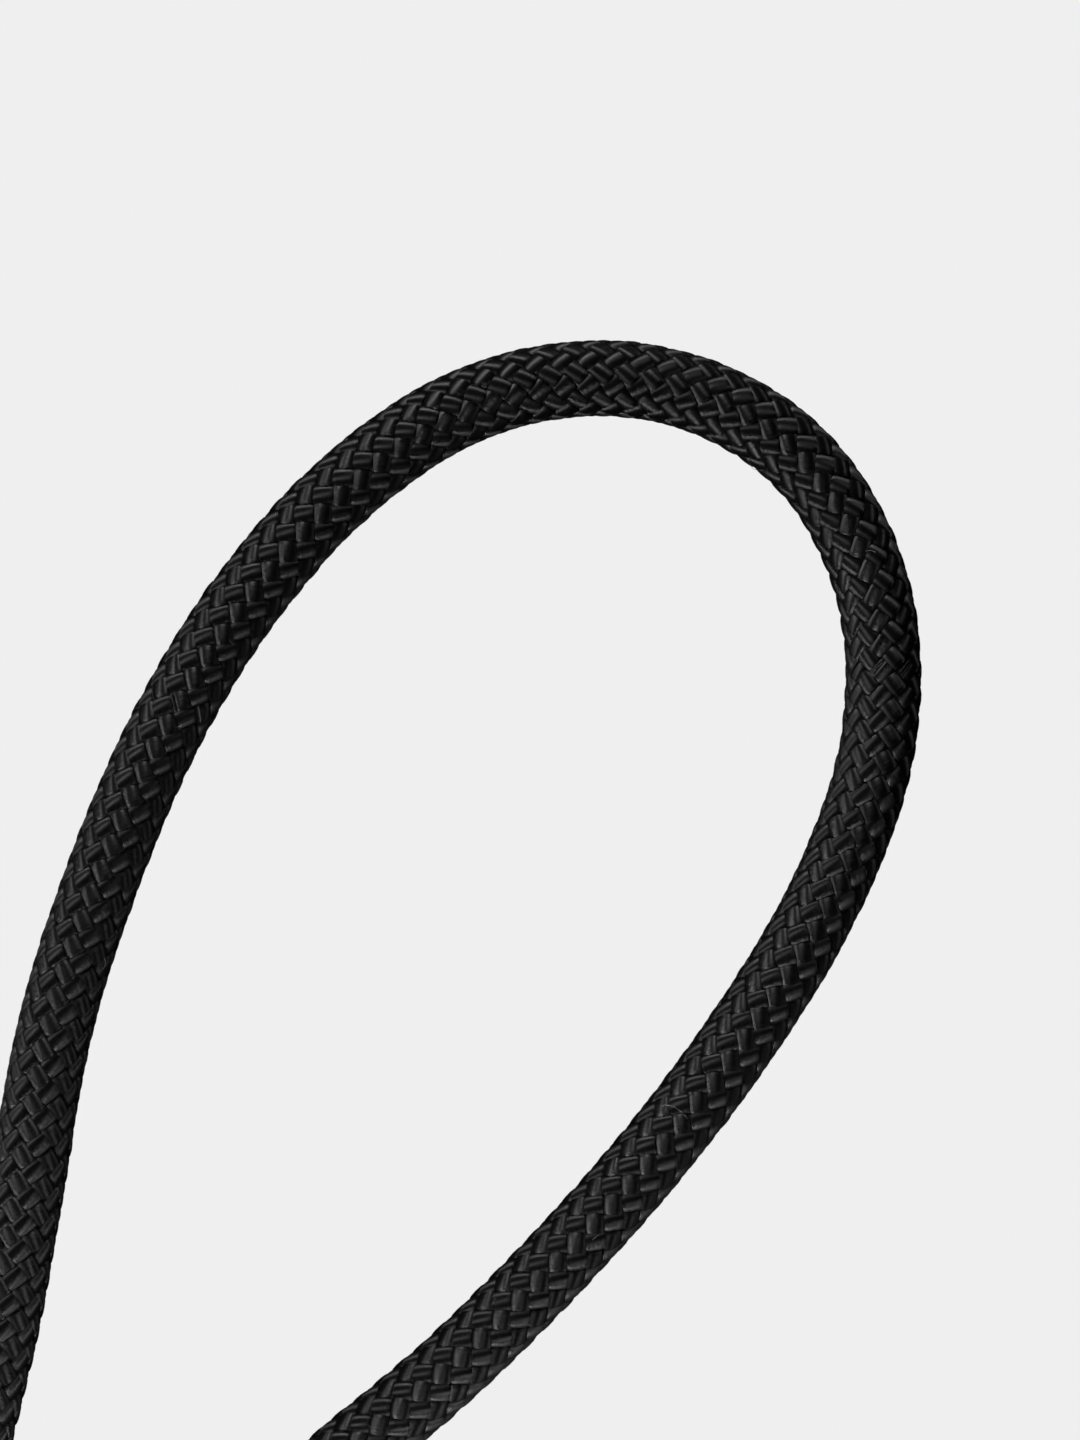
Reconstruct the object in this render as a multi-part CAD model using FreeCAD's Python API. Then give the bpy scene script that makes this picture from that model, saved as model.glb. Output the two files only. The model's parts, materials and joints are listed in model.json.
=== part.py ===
import FreeCAD, Part
import math
import os
from FreeCAD import Vector

# USB-A to USB-C charging cable, 1 m, braided, lying on a table. Millimetres.
# Origin: centre of the underside of the USB-A housing. Both plugs point along -Y and the table is z = 0.
# The cord runs from the USB-A plug through a free loop to a tied coil, and from the coil to the USB-C plug.

# ---- cord ----
CORD_DIAMETER = 4.0
ARC_SHARE = 0.45            # of the shorter run, from a corner to where its arc starts
WIRE_DIAMETER = 0.9
WIRE_SPACING = 1.5          # between the middles of the four wires inside the cord
SOLDER_ROUND = 0.3
WIRE_LEAD = 0.06            # share of a wire's length that is straight at each end

# ---- coil and its tie ----
COIL_CENTRE_X = 44.5
COIL_CENTRE_Y = 46.3
COIL_OUTER_TURN = 26.0      # radius of the outermost turn's centreline
COIL_PITCH = 4.2            # from one turn to the next
TURNS_PER_LAYER = 2.5
LAYER_RISE = 4.1            # height of the upper layer above the lower one
COIL_SLACK = 0.2            # room round the turns
COIL_CORNER = 1.8
COIL_STUB = 16.0            # straight cord where it joins and leaves the coil
TIE_WIDTH = 10.0
TIE_DIRECTION = -90.0       # where the tie sits round the coil, in degrees from +X
TIE_THICKNESS = 0.8
TIE_OVERLAP = 9.0           # length of the strap's second layer on top
TIE_GAP = 0.05              # between the strap and the turns

# ---- fits ----
SLIP = 0.02                 # clearance of a part pressed or moulded into another
FLEX_GAP = 0.06             # clearance beside a contact or latch that flexes
PAST = 1.0                  # how far a cutting shape runs past what it cuts
SAME = 1e-6                 # two places nearer than this are one

# ---- USB-A plug ----
A_HOUSING_WIDTH = 15.6
A_HOUSING_HEIGHT = 7.8
A_HOUSING_LENGTH = 22.0
A_HOUSING_CORNER = 2.4
A_HOUSING_WALL = 0.7
A_HOUSING_EDGE = 0.35
A_SHELL_WIDTH = 12.0
A_SHELL_HEIGHT = 4.5
A_SHELL_WALL = 0.3
A_SHELL_CORNER = 0.6
A_SHELL_EXPOSED = 11.75
A_SHELL_HELD = 6.5
A_WINDOW_SIZE = 2.4
A_WINDOW_FROM_TIP = 5.2
A_WINDOW_OFFSET = 2.85
A_TONGUE_THICKNESS = 1.84
A_TONGUE_SETBACK = 0.4      # tongue's tip behind the shell's tip
A_MOUTH_DEPTH = 9.25        # from the shell's tip to the insulator's full block
A_SHELF_LENGTH = 3.0
A_CONTACT_WIDTH = 1.0
A_CONTACT_THICKNESS = 0.3
A_DATA_OFFSET = 1.0
A_POWER_OFFSET = 3.5
A_POWER_SETBACK = 1.2       # contact's end behind the tongue's tip
A_DATA_SETBACK = 2.2
A_SOLDER_LENGTH = 1.7
A_SOLDER_HEIGHT = 1.0
A_CAN_WALL = 0.25
A_CAN_GRIP = 4.0            # how far the cans reach over the shell
A_MOULD_SETBACK = 0.4
A_RELIEF_HEAD = 3.0
A_RELIEF_LENGTH = 12.0
A_RELIEF_BASE_RADIUS = 3.4
A_RELIEF_END_RADIUS = 2.7
A_FERRULE_WALL = 0.5
A_FERRULE_LENGTH = 2.75
CORD_END_INSET = 0.7        # how far the cord's end reaches into the can

# ---- USB-C plug ----
C_PLUG_X = COIL_CENTRE_X - COIL_OUTER_TURN
C_PLUG_Y = -14.7
C_HOUSING_WIDTH = 12.2
C_HOUSING_HEIGHT = 6.8
C_HOUSING_LENGTH = 20.0
C_HOUSING_CORNER = 3.0
C_HOUSING_WALL = 0.7
C_HOUSING_EDGE = 0.35
C_SHELL_WIDTH = 8.25
C_SHELL_HEIGHT = 2.4
C_SHELL_WALL = 0.2
C_SHELL_EXPOSED = 6.65
C_SHELL_HELD = 4.5
C_CAVITY_WIDTH = 6.9
C_CAVITY_HEIGHT = 0.9
C_INSULATOR_SETBACK = 0.25
C_INSULATOR_LENGTH = 5.2
C_CARRIER_LENGTH = 6.4
C_CONTACT_PITCH = 0.5
C_CONTACT_WIDTH = 0.22
C_CONTACT_THICKNESS = 0.15
C_CONTACT_HEIGHT = 0.5      # from the plug's middle to the contact's near side
C_CONTACT_BUMP = 0.22
C_BUMP_START = 0.25         # from the contact's tip
C_BUMP_RISE = 0.25
C_BUMP_FLAT = 0.2
C_BUMP_FALL = 0.45
C_TAIL_FOOT = 1.3           # length of a tail's foot on the board
C_BOARD_INSET = 0.6         # how far the board reaches into the carrier
C_CONTACT_SETBACK = 0.9
C_CONTACT_TRAVEL = 0.12
C_UPPER_PINS = (-5.5, -2.5, -1.5, -0.5, 0.5, 2.5, 5.5)
C_LOWER_PINS = (-5.5, -2.5, 1.5, 2.5, 5.5)
C_LATCH_THICKNESS = 0.2
C_LATCH_HEIGHT = 0.7
C_LATCH_INNER = 3.38        # from the plug's middle to the latch arm
C_LATCH_HOOK = 0.33
C_LATCH_HOOK_LENGTH = 0.9
C_LATCH_HOOK_LEAD = 0.3     # the hook's slanted lead-in
C_LATCH_HOOK_FLAT = 0.25
C_LATCH_SETBACK = 1.15
C_LATCH_LENGTH = 7.6
C_BOARD_WIDTH = 7.6
C_BOARD_THICKNESS = 0.6
C_WIRE_ROOM = 4.2           # from the board's rear edge to the cord's end
C_PAD_SPACING = 2.0
C_PAD_INSET = 0.3           # from the solder to the board's rear edge
C_SOLDER_WIDTH = 1.1
C_SOLDER_LENGTH = 1.4
C_SOLDER_HEIGHT = 0.95
C_RESISTOR = (1.0, 0.5, 0.35)
C_RESISTOR_X = 2.0
C_RESISTOR_GAP = 0.8        # from the resistor to the solder joints
C_CAN_WIDTH = 9.4
C_CAN_HEIGHT = 4.6
C_CAN_WALL = 0.2
C_CAN_CORNER = 1.4
C_CAN_GRIP = 2.0
C_MOULD_SETBACK = 0.4
C_RELIEF_HEAD = 2.4
C_RELIEF_LENGTH = 11.0
C_RELIEF_BASE_RADIUS = 3.0
C_RELIEF_END_RADIUS = 2.6
C_FERRULE_WALL = 0.4
C_FERRULE_LENGTH = 1.9

# ---- strain reliefs ----
GROOVE_COUNT = 4
GROOVE_WIDTH = 0.8
GROOVE_DEPTH = 0.45
GROOVE_STEP = 1.9
RELIEF_PLAIN_END = 2.4      # smooth stretch before the first groove
RELIEF_LIP = 0.3            # chamfer at the mouth

# ---- places worked out from the sizes ----
CORD_RADIUS = CORD_DIAMETER / 2
WIRE_RADIUS = WIRE_DIAMETER / 2
A_AXIS_Z = A_HOUSING_HEIGHT / 2
A_FRONT = -A_HOUSING_LENGTH / 2
A_REAR = A_HOUSING_LENGTH / 2
A_TIP = A_FRONT - A_SHELL_EXPOSED
A_MOUTH_Y = A_REAR + A_RELIEF_LENGTH
C_AXIS_Z = C_HOUSING_HEIGHT / 2
C_FRONT = -C_HOUSING_LENGTH / 2
C_REAR = C_HOUSING_LENGTH / 2
C_TIP = C_FRONT - C_SHELL_EXPOSED
C_MOUTH_Y = C_PLUG_Y + C_REAR + C_RELIEF_LENGTH
LOWER_TURN_Z = CORD_RADIUS
UPPER_TURN_Z = CORD_RADIUS + LAYER_RISE
COIL_SIDE_X = COIL_CENTRE_X - COIL_OUTER_TURN

# The free cord's route: the corners that its centreline rounds off, from the USB-A plug to the coil.
LOOP_ROUTE = [
    (0.0, A_MOUTH_Y, A_AXIS_Z),
    (0.0, 30.0, A_AXIS_Z),
    (0.0, 38.0, CORD_RADIUS),
    (0.3, 47.5, CORD_RADIUS),
    (1.1, 58.5, CORD_RADIUS),
    (2.9, 69.5, CORD_RADIUS),
    (5.2, 79.5, CORD_RADIUS),
    (7.55, 88.3, CORD_RADIUS),
    (8.95, 96.4, CORD_RADIUS),
    (10.2, 104.3, CORD_RADIUS),
    (12.7, 112.1, CORD_RADIUS),
    (15.9, 119.8, CORD_RADIUS),
    (20.2, 126.9, CORD_RADIUS),
    (25.9, 133.3, CORD_RADIUS),
    (33.0, 137.8, CORD_RADIUS),
    (41.5, 138.6, CORD_RADIUS),
    (49.15, 135.0, CORD_RADIUS),
    (53.4, 127.8, CORD_RADIUS),
    (53.7, 119.3, CORD_RADIUS),
    (50.8, 111.3, CORD_RADIUS),
    (46.4, 104.1, CORD_RADIUS),
    (41.4, 97.5, CORD_RADIUS),
    (35.8, 91.3, CORD_RADIUS),
    (30.1, 85.7, CORD_RADIUS),
    (23.6, 80.6, CORD_RADIUS),
    (20.1, 75.1, CORD_RADIUS),
    (COIL_SIDE_X, 68.8, CORD_RADIUS),
    (COIL_SIDE_X, COIL_CENTRE_Y + COIL_STUB, LOWER_TURN_Z),
]

# From the coil's upper layer down to the USB-C plug.
TAIL_ROUTE = [
    (COIL_SIDE_X, COIL_CENTRE_Y - COIL_STUB, UPPER_TURN_Z),
    (COIL_SIDE_X, 22.3, UPPER_TURN_Z),
    (COIL_SIDE_X, 14.3, C_AXIS_Z),
    (C_PLUG_X, C_MOUTH_Y, C_AXIS_Z),
]

os.makedirs("parts", exist_ok=True)


# ---- shapes ----
def save(node, shape):
    shape.exportStep("parts/" + node + ".step")


def moved(shape, x=0.0, y=0.0, z=0.0):
    copy = shape.copy()
    copy.translate(Vector(x, y, z))
    return copy


def block(width, y_start, y_end, z_low, z_high, x_mid=0.0):
    size = (width, y_end - y_start, z_high - z_low)
    return Part.makeBox(*size, Vector(x_mid - width / 2, y_start, z_low))


def rounded_bar(width, height, corner, y_start, y_end, z_mid):
    """A bar along Y whose section is a rectangle with round corners; a corner of half the height makes a stadium."""
    half_w = width / 2
    half_h = height / 2
    flat_w = half_w - corner
    flat_h = half_h - corner
    middles = [(flat_w, flat_h, 0), (-flat_w, flat_h, 90), (-flat_w, -flat_h, 180), (flat_w, -flat_h, 270)]
    arcs = []
    for x, z, turn in middles:
        points = []
        for degrees in (turn, turn + 45, turn + 90):
            angle = math.radians(degrees)
            points.append(Vector(x + corner * math.cos(angle), y_start, z_mid + z + corner * math.sin(angle)))
        arcs.append(points)
    edges = []
    for index, points in enumerate(arcs):
        edges.append(Part.Arc(*points).toShape())
        following = arcs[(index + 1) % len(arcs)][0]
        if (following - points[2]).Length > SAME:
            edges.append(Part.makeLine(points[2], following))
    return Part.Face(Part.Wire(edges)).extrude(Vector(0, y_end - y_start, 0))


def rod(radius, y_start, y_end, x=0.0, z=0.0):
    return Part.makeCylinder(radius, y_end - y_start, Vector(x, y_start, z), Vector(0, 1, 0))


def pipe(edges, radius):
    path = Part.Wire(edges)
    start = edges[0].valueAt(edges[0].FirstParameter)
    direction = edges[0].tangentAt(edges[0].FirstParameter)
    section = Part.Wire(Part.makeCircle(radius, start, direction))
    return path.makePipeShell([section], True, False)


def cord_tube(name, route, diameter):
    """A tube along a route whose corners are rounded by tangent arcs as large as their runs allow."""
    points = [Vector(*point) for point in route]
    edges = []
    radii = []
    here = points[0]
    for before, corner, after in zip(points, points[1:], points[2:]):
        arriving = (corner - before).normalize()
        leaving = (after - corner).normalize()
        turn = arriving.getAngle(leaving)
        setback = ARC_SHARE * min((corner - before).Length, (after - corner).Length)
        radii.append(setback / math.tan(turn / 2))
        arc_start = corner - arriving * setback
        arc_end = corner + leaving * setback
        inward = (leaving - arriving).normalize()
        depth = radii[-1] * (1 / math.cos(turn / 2) - 1)
        edges.append(Part.makeLine(here, arc_start))
        edges.append(Part.Arc(arc_start, corner + inward * depth, arc_end).toShape())
        here = arc_end
    edges.append(Part.makeLine(here, points[-1]))
    tube = pipe(edges, diameter / 2)
    length = sum(edge.Length for edge in edges)
    expected = math.pi * diameter ** 2 / 4 * length
    print(name, "length", round(length, 1), "radii", [round(radius, 1) for radius in radii])
    print(name, "volume over section times length", round(tube.Volume / expected, 4))
    return tube, length


def s_wire(start, end, radius):
    """A wire that leaves start and reaches end along +Y, with one bend each way between them."""
    first = Vector(*start)
    last = Vector(*end)
    along = last.y - first.y
    across = Vector(last.x - first.x, 0, last.z - first.z)
    straight = WIRE_LEAD * along
    bend_along = along - 2 * straight
    turn = 2 * math.atan(across.Length / bend_along)
    bend_radius = bend_along / (2 * math.sin(turn))
    sideways = across.normalize()

    def place(y, offset):
        return first + Vector(0, y, 0) + sideways * offset

    half_y = bend_radius * math.sin(turn / 2)
    half_offset = bend_radius * (1 - math.cos(turn / 2))
    middle_y = bend_along / 2
    middle_offset = bend_radius * (1 - math.cos(turn))
    lead_out = place(straight, 0)
    middle = place(straight + middle_y, middle_offset)
    lead_in = place(along - straight, 2 * middle_offset)
    edges = [
        Part.makeLine(first, lead_out),
        Part.Arc(lead_out, place(straight + half_y, half_offset), middle).toShape(),
        Part.Arc(middle, place(along - straight - half_y, 2 * middle_offset - half_offset), lead_in).toShape(),
        Part.makeLine(lead_in, last),
    ]
    return pipe(edges, radius)


def end_edges(shape, y):
    """The edges of a bar that lie in the plane at y."""
    found = []
    for edge in shape.Edges:
        if all(abs(vertex.Y - y) < SAME for vertex in edge.Vertexes) and abs(edge.CenterOfMass.y - y) < SAME:
            found.append(edge)
    return found


def sleeve(width, height, length, corner, wall, edge_radius, z_mid):
    """An open metal sleeve with its outer edges rounded."""
    outer = rounded_bar(width, height, corner, -length / 2, length / 2, z_mid)
    outer = outer.makeFillet(edge_radius, end_edges(outer, -length / 2) + end_edges(outer, length / 2))
    inner = rounded_bar(width - 2 * wall, height - 2 * wall, corner - wall, -length, length, z_mid)
    return outer.cut(inner)


def relief_boot(base_radius, end_radius, y_start, length, z_mid):
    """The tapered, grooved boot outside the housing, revolved about the cord."""
    def radius_at(y):
        return base_radius + (end_radius - base_radius) * y / length

    outline = [(0, 0), (base_radius, 0)]
    for index in range(GROOVE_COUNT):
        start = RELIEF_PLAIN_END + index * GROOVE_STEP
        end = start + GROOVE_WIDTH
        outline.append((radius_at(start), start))
        outline.append((radius_at(start) - GROOVE_DEPTH, start))
        outline.append((radius_at(end) - GROOVE_DEPTH, end))
        outline.append((radius_at(end), end))
    outline.append((radius_at(length - RELIEF_LIP), length - RELIEF_LIP))
    outline.append((end_radius - RELIEF_LIP, length))
    outline.append((0, length))
    outline.append((0, 0))
    points = [Vector(radius, y_start + y, z_mid) for radius, y in outline]
    face = Part.Face(Part.makePolygon(points))
    return face.revolve(Vector(0, y_start, z_mid), Vector(0, 1, 0), 360)


def strain_relief(width, height, corner, head, boot, rear, z_mid, mouth):
    """The boot with its head, which fills the rear of the housing; the cord's bore runs through both."""
    inside = rounded_bar(width, height, corner, rear - head, rear, z_mid)
    return inside.fuse(boot).removeSplitter().cut(rod(CORD_RADIUS, rear - head - PAST, mouth + PAST, 0, z_mid))


def wire_ends(z_mid):
    """Where the four wires come out of the cord's end: the outer pair above, the inner pair below."""
    half = WIRE_SPACING / 2
    return [(-half, z_mid + half), (-half, z_mid - half), (half, z_mid - half), (half, z_mid + half)]


def solder_lump(lump):
    """A block of solder rounded on top, except along its rear edge, where the wire comes out."""
    box = lump.BoundBox
    edges = []
    for edge in lump.Edges:
        centre = edge.CenterOfMass
        if abs(centre.z - box.ZMax) < SAME and abs(centre.y - box.YMax) > SAME:
            edges.append(edge)
    return lump.makeFillet(SOLDER_ROUND, edges)


def fused(shapes):
    return shapes[0].multiFuse(shapes[1:]).removeSplitter() if len(shapes) > 1 else shapes[0]


# ---- USB-A plug ----
def usb_a_shell():
    end = A_FRONT + A_SHELL_HELD
    outer = rounded_bar(A_SHELL_WIDTH, A_SHELL_HEIGHT, A_SHELL_CORNER, A_TIP, end, A_AXIS_Z)
    inner = rounded_bar(
        A_SHELL_WIDTH - 2 * A_SHELL_WALL,
        A_SHELL_HEIGHT - 2 * A_SHELL_WALL,
        A_SHELL_CORNER - A_SHELL_WALL,
        A_TIP - PAST,
        end + PAST,
        A_AXIS_Z,
    )
    shell = outer.cut(inner)
    window_mid = A_TIP + A_WINDOW_FROM_TIP
    for x in (-A_WINDOW_OFFSET, A_WINDOW_OFFSET):
        start = window_mid - A_WINDOW_SIZE / 2
        window = block(A_WINDOW_SIZE, start, start + A_WINDOW_SIZE, 0, A_HOUSING_HEIGHT, x)
        shell = shell.cut(window)
    return shell


def usb_a_slab_top():
    return A_AXIS_Z - A_SHELL_HEIGHT / 2 + A_SHELL_WALL + SLIP + A_TONGUE_THICKNESS


def usb_a_contact(x, setback):
    top = usb_a_slab_top()
    start = A_TIP + A_TONGUE_SETBACK + setback
    end = A_FRONT + A_SHELL_HELD + A_SHELF_LENGTH - A_TONGUE_SETBACK
    return block(A_CONTACT_WIDTH, start, end, top - A_CONTACT_THICKNESS, top, x)


def usb_a_insulator():
    width = A_SHELL_WIDTH - 2 * A_SHELL_WALL - 2 * SLIP
    low = A_AXIS_Z - A_SHELL_HEIGHT / 2 + A_SHELL_WALL + SLIP
    high = A_AXIS_Z + A_SHELL_HEIGHT / 2 - A_SHELL_WALL - SLIP
    shell_end = A_FRONT + A_SHELL_HELD
    corner = A_SHELL_CORNER - A_SHELL_WALL
    full = rounded_bar(width, high - low, corner, A_TIP + A_TONGUE_SETBACK, shell_end + A_SHELF_LENGTH, A_AXIS_Z)
    top = usb_a_slab_top()
    mouth = block(A_HOUSING_WIDTH, A_TIP, A_TIP + A_MOUTH_DEPTH, top, A_HOUSING_HEIGHT)
    shelf_space = block(A_HOUSING_WIDTH, shell_end, shell_end + A_SHELF_LENGTH + PAST, top, A_HOUSING_HEIGHT)
    body = full.cut(mouth).cut(shelf_space)
    for x, setback in usb_a_pins():
        contact = usb_a_contact(x, setback)
        body = body.cut(contact)
    return body


def usb_a_pins():
    pins = []
    for side in (-1, 1):
        pins.append((side * A_POWER_OFFSET, A_POWER_SETBACK))
        pins.append((side * A_DATA_OFFSET, A_DATA_SETBACK))
    return pins


def usb_a_solder_end():
    return A_FRONT + A_SHELL_HELD + A_SHELF_LENGTH - A_TONGUE_SETBACK


def usb_a_solder_joint(x):
    end = usb_a_solder_end()
    start = end - A_SOLDER_LENGTH
    top = usb_a_slab_top()
    return solder_lump(block(A_CONTACT_WIDTH, start, end, top, top + A_SOLDER_HEIGHT, x))


def usb_a_can_end():
    return A_REAR - A_RELIEF_HEAD - A_FERRULE_LENGTH


def usb_a_cord_end():
    return usb_a_can_end() - A_CAN_WALL - CORD_END_INSET


def usb_a_can_outer():
    width = A_SHELL_WIDTH + 2 * A_CAN_WALL
    height = A_SHELL_HEIGHT + 2 * A_CAN_WALL
    start = A_FRONT + A_SHELL_HELD - A_CAN_GRIP
    return rounded_bar(width, height, A_SHELL_CORNER + A_CAN_WALL, start, usb_a_can_end(), A_AXIS_Z)


def usb_a_can(low, high):
    start = A_FRONT + A_SHELL_HELD - A_CAN_GRIP - PAST
    end = usb_a_can_end() - A_CAN_WALL
    space = rounded_bar(A_SHELL_WIDTH, A_SHELL_HEIGHT, A_SHELL_CORNER, start, end, A_AXIS_Z)
    can = usb_a_can_outer().cut(space).cut(rod(CORD_RADIUS, end - PAST, end + PAST, 0, A_AXIS_Z))
    return can.common(block(2 * A_HOUSING_WIDTH, start, A_REAR, low, high))


def make_usb_a_wires():
    ends = wire_ends(A_AXIS_Z)
    starts = [-A_POWER_OFFSET, -A_DATA_OFFSET, A_DATA_OFFSET, A_POWER_OFFSET]
    z = usb_a_slab_top() + A_SOLDER_HEIGHT / 2
    for colour, x, (end_x, end_z) in zip(("red", "white", "green", "black"), starts, ends):
        wire = s_wire((x, usb_a_solder_end(), z), (end_x, usb_a_cord_end(), end_z), WIRE_RADIUS)
        save("usb_a_wire_" + colour, wire)


def make_usb_a_mould():
    width = A_HOUSING_WIDTH - 2 * A_HOUSING_WALL
    height = A_HOUSING_HEIGHT - 2 * A_HOUSING_WALL
    corner = A_HOUSING_CORNER - A_HOUSING_WALL
    end = A_REAR - A_RELIEF_HEAD
    ferrule_radius = CORD_RADIUS + A_FERRULE_WALL
    mould = rounded_bar(width, height, corner, A_FRONT + A_MOULD_SETBACK, end, A_AXIS_Z)
    shell_end = A_FRONT + A_SHELL_HELD
    shell = rounded_bar(A_SHELL_WIDTH, A_SHELL_HEIGHT, A_SHELL_CORNER, A_TIP, shell_end, A_AXIS_Z)
    mould = mould.cut(shell).cut(usb_a_can_outer())
    mould = mould.cut(rod(ferrule_radius, usb_a_can_end() - SLIP, end + PAST, 0, A_AXIS_Z))
    save("usb_a_inner_mould", mould)
    ferrule = rod(ferrule_radius, usb_a_can_end(), end, 0, A_AXIS_Z)
    save("usb_a_ferrule", ferrule.cut(rod(CORD_RADIUS, A_FRONT, A_REAR, 0, A_AXIS_Z)))
    save("usb_a_cord_end", rod(CORD_RADIUS, usb_a_cord_end(), A_MOUTH_Y, 0, A_AXIS_Z))
    boot = relief_boot(A_RELIEF_BASE_RADIUS, A_RELIEF_END_RADIUS, A_REAR, A_RELIEF_LENGTH, A_AXIS_Z)
    relief = strain_relief(width, height, corner, A_RELIEF_HEAD, boot, A_REAR, A_AXIS_Z, A_MOUTH_Y)
    save("usb_a_strain_relief", relief)


def make_usb_a():
    save("usb_a_shell", usb_a_shell())
    save("usb_a_insulator", usb_a_insulator())
    power = []
    data = []
    joints = []
    for side in (-1, 1):
        power.append(usb_a_contact(side * A_POWER_OFFSET, A_POWER_SETBACK))
        data.append(usb_a_contact(side * A_DATA_OFFSET, A_DATA_SETBACK))
        joints.append(usb_a_solder_joint(side * A_POWER_OFFSET))
        joints.append(usb_a_solder_joint(side * A_DATA_OFFSET))
    save("usb_a_power_contacts", Part.makeCompound(power))
    save("usb_a_data_contacts", Part.makeCompound(data))
    save("usb_a_solder", Part.makeCompound(joints))
    save("usb_a_upper_can", usb_a_can(A_AXIS_Z, A_HOUSING_HEIGHT))
    save("usb_a_lower_can", usb_a_can(0, A_AXIS_Z))
    make_usb_a_wires()
    make_usb_a_mould()
    housing = sleeve(
        A_HOUSING_WIDTH,
        A_HOUSING_HEIGHT,
        A_HOUSING_LENGTH,
        A_HOUSING_CORNER,
        A_HOUSING_WALL,
        A_HOUSING_EDGE,
        A_AXIS_Z,
    )
    save("usb_a_housing", housing)


# ---- USB-C plug, built with its housing's middle at y = 0 and then moved to its place ----
C_INSULATOR_START = C_TIP + C_INSULATOR_SETBACK
C_CARRIER_START = C_INSULATOR_START + C_INSULATOR_LENGTH
C_CARRIER_END = C_CARRIER_START + C_CARRIER_LENGTH
C_SHELL_END = C_FRONT + C_SHELL_HELD
C_CAN_END = C_REAR - C_RELIEF_HEAD - C_FERRULE_LENGTH
C_CORD_END = C_CAN_END - C_CAN_WALL - CORD_END_INSET
C_BOARD_START = C_CARRIER_END
C_BOARD_END = C_CORD_END - C_WIRE_ROOM


def save_c(node, shape):
    save(node, moved(shape, C_PLUG_X, C_PLUG_Y, 0))


def c_stadium(width, height, y_start, y_end):
    return rounded_bar(width, height, 0.4999 * height, y_start, y_end, C_AXIS_Z)


def c_contact(pin, side):
    """One spring contact: a flat beam with a bump near its tip, on the upper (side 1) or lower (side -1) row."""
    x = pin * C_CONTACT_PITCH
    near = C_AXIS_Z + side * C_CONTACT_HEIGHT
    far = near + side * C_CONTACT_THICKNESS
    tip = C_INSULATOR_START + C_CONTACT_SETBACK
    bump_start = tip + C_BUMP_START
    bump_top = bump_start + C_BUMP_RISE
    bump_end = bump_top + C_BUMP_FLAT
    bump = near - side * C_CONTACT_BUMP
    outline = [
        (tip, far),
        (tip, near),
        (bump_start, near),
        (bump_top, bump),
        (bump_end, bump),
        (bump_end + C_BUMP_FALL, near),
        (C_CARRIER_START - SLIP, near),
        (C_CARRIER_START - SLIP, far),
        (tip, far),
    ]
    face = Part.Face(Part.makePolygon([Vector(x - C_CONTACT_WIDTH / 2, y, z) for y, z in outline]))
    return face.extrude(Vector(C_CONTACT_WIDTH, 0, 0))


def c_contact_slot(pin, side):
    x = pin * C_CONTACT_PITCH
    inner = C_AXIS_Z + side * (C_CAVITY_HEIGHT / 2 - FLEX_GAP)
    outer = C_AXIS_Z + side * (C_CONTACT_HEIGHT + C_CONTACT_THICKNESS + C_CONTACT_TRAVEL + FLEX_GAP)
    start = C_INSULATOR_START + C_CONTACT_SETBACK - 3 * FLEX_GAP
    return block(C_CONTACT_WIDTH + 2 * FLEX_GAP, start, C_CARRIER_START + PAST, min(inner, outer), max(inner, outer), x)


def c_tail(pin, side):
    """The fixed part of a contact, through the carrier and onto the board."""
    x = pin * C_CONTACT_PITCH
    near = C_AXIS_Z + side * C_CONTACT_HEIGHT
    far = near + side * C_CONTACT_THICKNESS
    board = C_AXIS_Z + side * C_BOARD_THICKNESS / 2
    end = C_BOARD_START + C_TAIL_FOOT
    step = C_CARRIER_END - C_BOARD_INSET
    bend = step + C_CONTACT_THICKNESS
    beam = block(C_CONTACT_WIDTH, C_CARRIER_START, bend, min(near, far), max(near, far), x)
    drop = block(C_CONTACT_WIDTH, step, bend, min(board, far), max(board, far), x)
    low, high = sorted((board, board + side * C_CONTACT_THICKNESS))
    foot = block(C_CONTACT_WIDTH, step, end, low, high, x)
    return fused([beam, drop, foot])


def c_latch_space():
    """The slot that a latch arm moves in, from the mouth's side wall back to its root."""
    width = C_SHELL_WIDTH / 2 - C_SHELL_WALL - C_LATCH_INNER + FLEX_GAP
    start = C_INSULATOR_START + C_LATCH_SETBACK - 4 * FLEX_GAP
    end = C_INSULATOR_START + C_LATCH_SETBACK + C_LATCH_LENGTH
    half = C_LATCH_HEIGHT / 2 + FLEX_GAP
    middle = C_LATCH_INNER - FLEX_GAP + width / 2
    return block(width, start, end + FLEX_GAP, C_AXIS_Z - half, C_AXIS_Z + half, middle)


def c_latch():
    """The right-hand latch: a flat spring arm with a hook that points inwards."""
    start = C_INSULATOR_START + C_LATCH_SETBACK
    inner = C_LATCH_INNER
    outer = inner + C_LATCH_THICKNESS
    hook = inner - C_LATCH_HOOK
    end = start + C_LATCH_LENGTH
    outline = [
        (outer, start),
        (inner, start),
        (hook, start + C_LATCH_HOOK_LEAD),
        (hook, start + C_LATCH_HOOK_LEAD + C_LATCH_HOOK_FLAT),
        (inner, start + C_LATCH_HOOK_LENGTH),
        (inner, end),
        (outer, end),
        (outer, start),
    ]
    low = C_AXIS_Z - C_LATCH_HEIGHT / 2
    face = Part.Face(Part.makePolygon([Vector(x, y, low) for x, y in outline]))
    return face.extrude(Vector(0, 0, C_LATCH_HEIGHT))


def mirrored(shape):
    return shape.mirror(Vector(0, 0, 0), Vector(1, 0, 0))


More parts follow.
